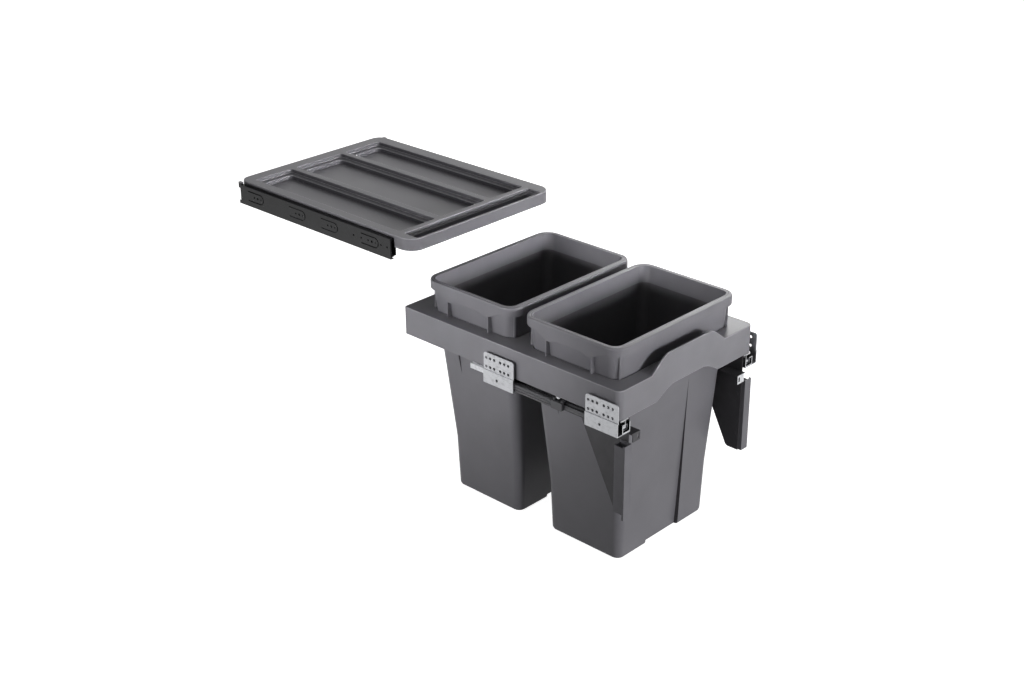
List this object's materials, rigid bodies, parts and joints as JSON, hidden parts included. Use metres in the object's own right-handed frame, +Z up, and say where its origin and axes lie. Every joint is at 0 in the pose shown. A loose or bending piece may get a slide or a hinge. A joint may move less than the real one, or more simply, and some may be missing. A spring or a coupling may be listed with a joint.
{
  "type": "pull-out waste bin unit",
  "caption": "Pull-out waste bin unit for a base cabinet: carrier frame on undermount runners with dampers, lift-out bins with bag rings, door brackets and a lid tray on slides.",
  "frame": {"origin": "middle of the cabinet's width, on its front plane, level with the bins' feet", "axes": "+X to the right seen from the front, +Y into the cabinet, +Z up"},
  "size_m": [0.368, 0.9395, 0.4825],
  "materials": {
    "moulded_plastic": "fine moulded grain",
    "damper_plastic": "moulded",
    "plate_steel": "zinc plated",
    "runner_steel": "zinc plated",
    "rail_steel": "black electrophoretic coat",
    "bracket_steel": "powder coat",
    "cage_steel": "bright",
    "fastener_steel": "zinc plated"
  },
  "bodies": {
    "cabinet_fixings": {"mount_plate_front_left": "plate_steel", "mount_plate_front_right": "plate_steel", "mount_plate_rear_left": "plate_steel", "mount_plate_rear_right": "plate_steel", "runner_cabinet_left": "runner_steel", "runner_cabinet_right": "runner_steel", "damper_housing_left": "damper_plastic", "damper_housing_right": "damper_plastic", "runner_rivets": "fastener_steel"},
    "runner_cages_outer": {"runner_cage_outer_left": "cage_steel", "runner_cage_outer_right": "cage_steel"},
    "runner_middles": {"runner_middle_left": "runner_steel", "runner_middle_right": "runner_steel"},
    "runner_cages_inner": {"runner_cage_inner_left": "cage_steel", "runner_cage_inner_right": "cage_steel"},
    "damper_catches": {"damper_catch_left": "damper_plastic", "damper_catch_right": "damper_plastic"},
    "carrier": {"carrier_frame": "moulded_plastic", "runner_drawer_left": "runner_steel", "runner_drawer_right": "runner_steel", "door_bracket_left": "bracket_steel", "door_bracket_right": "bracket_steel", "door_post_left": "bracket_steel", "door_post_right": "bracket_steel", "bracket_rivets": "fastener_steel", "frame_screws": "fastener_steel"},
    "front_bin_body": {"front_bin": "moulded_plastic"},
    "rear_bin_body": {"rear_bin": "moulded_plastic"},
    "front_ring_body": {"front_bag_ring": "moulded_plastic"},
    "rear_ring_body": {"rear_bag_ring": "moulded_plastic"},
    "lid_rails": {"lid_rail_cabinet_left": "rail_steel", "lid_rail_cabinet_right": "rail_steel"},
    "lid_cages_outer": {"lid_cage_outer_left": "cage_steel", "lid_cage_outer_right": "cage_steel"},
    "lid_middles": {"lid_rail_middle_left": "rail_steel", "lid_rail_middle_right": "rail_steel"},
    "lid_cages_inner": {"lid_cage_inner_left": "cage_steel", "lid_cage_inner_right": "cage_steel"},
    "lid": {"lid_tray": "moulded_plastic", "lid_rail_inner_left": "rail_steel", "lid_rail_inner_right": "rail_steel", "lid_screws": "fastener_steel"}
  },
  "joints": [
    {"name": "pull_out", "type": "slide", "parent": "cabinet_fixings", "child": "carrier", "axis": [0, -1, 0], "range_m": [0, 0.345]},
    {"name": "runner_cages_outer_travel", "type": "slide", "parent": "cabinet_fixings", "child": "runner_cages_outer", "axis": [0, -1, 0], "range_m": [0, 0.0865]},
    {"name": "runner_middles_travel", "type": "slide", "parent": "cabinet_fixings", "child": "runner_middles", "axis": [0, -1, 0], "range_m": [0, 0.173]},
    {"name": "runner_cages_inner_travel", "type": "slide", "parent": "cabinet_fixings", "child": "runner_cages_inner", "axis": [0, -1, 0], "range_m": [0, 0.259]},
    {"name": "damper_catch_travel", "type": "slide", "parent": "cabinet_fixings", "child": "damper_catches", "axis": [0, -1, 0], "range_m": [0, 0.04], "stiffness_N_per_m": 120},
    {"name": "front_bin_lift", "type": "slide", "parent": "carrier", "child": "front_bin_body", "axis": [0, 0, 1], "range_m": [0, 0.42]},
    {"name": "rear_bin_lift", "type": "slide", "parent": "carrier", "child": "rear_bin_body", "axis": [0, 0, 1], "range_m": [0, 0.42]},
    {"name": "front_ring_lift", "type": "slide", "parent": "front_bin_body", "child": "front_ring_body", "axis": [0, 0, 1], "range_m": [0, 0.06]},
    {"name": "rear_ring_lift", "type": "slide", "parent": "rear_bin_body", "child": "rear_ring_body", "axis": [0, 0, 1], "range_m": [0, 0.06]},
    {"name": "lid_unit_place", "type": "slide", "parent": "cabinet_fixings", "child": "lid_rails", "axis": [0, 1, 0], "range_m": [-0.44, 0]},
    {"name": "lid_slide", "type": "slide", "parent": "lid_rails", "child": "lid", "axis": [0, 1, 0], "range_m": [-0.4, 0]},
    {"name": "lid_cages_outer_travel", "type": "slide", "parent": "lid_rails", "child": "lid_cages_outer", "axis": [0, 1, 0], "range_m": [-0.1005, 0]},
    {"name": "lid_middles_travel", "type": "slide", "parent": "lid_rails", "child": "lid_middles", "axis": [0, 1, 0], "range_m": [-0.2005, 0]},
    {"name": "lid_cages_inner_travel", "type": "slide", "parent": "lid_rails", "child": "lid_cages_inner", "axis": [0, 1, 0], "range_m": [-0.3005, 0]}
  ],
  "couplings": [
    {"joint": "runner_cages_outer_travel", "follows": "pull_out", "ratio": 0.25},
    {"joint": "runner_middles_travel", "follows": "pull_out", "ratio": 0.5},
    {"joint": "runner_cages_inner_travel", "follows": "pull_out", "ratio": 0.75},
    {"joint": "lid_cages_outer_travel", "follows": "lid_slide", "ratio": 0.25},
    {"joint": "lid_middles_travel", "follows": "lid_slide", "ratio": 0.5},
    {"joint": "lid_cages_inner_travel", "follows": "lid_slide", "ratio": 0.75}
  ]
}
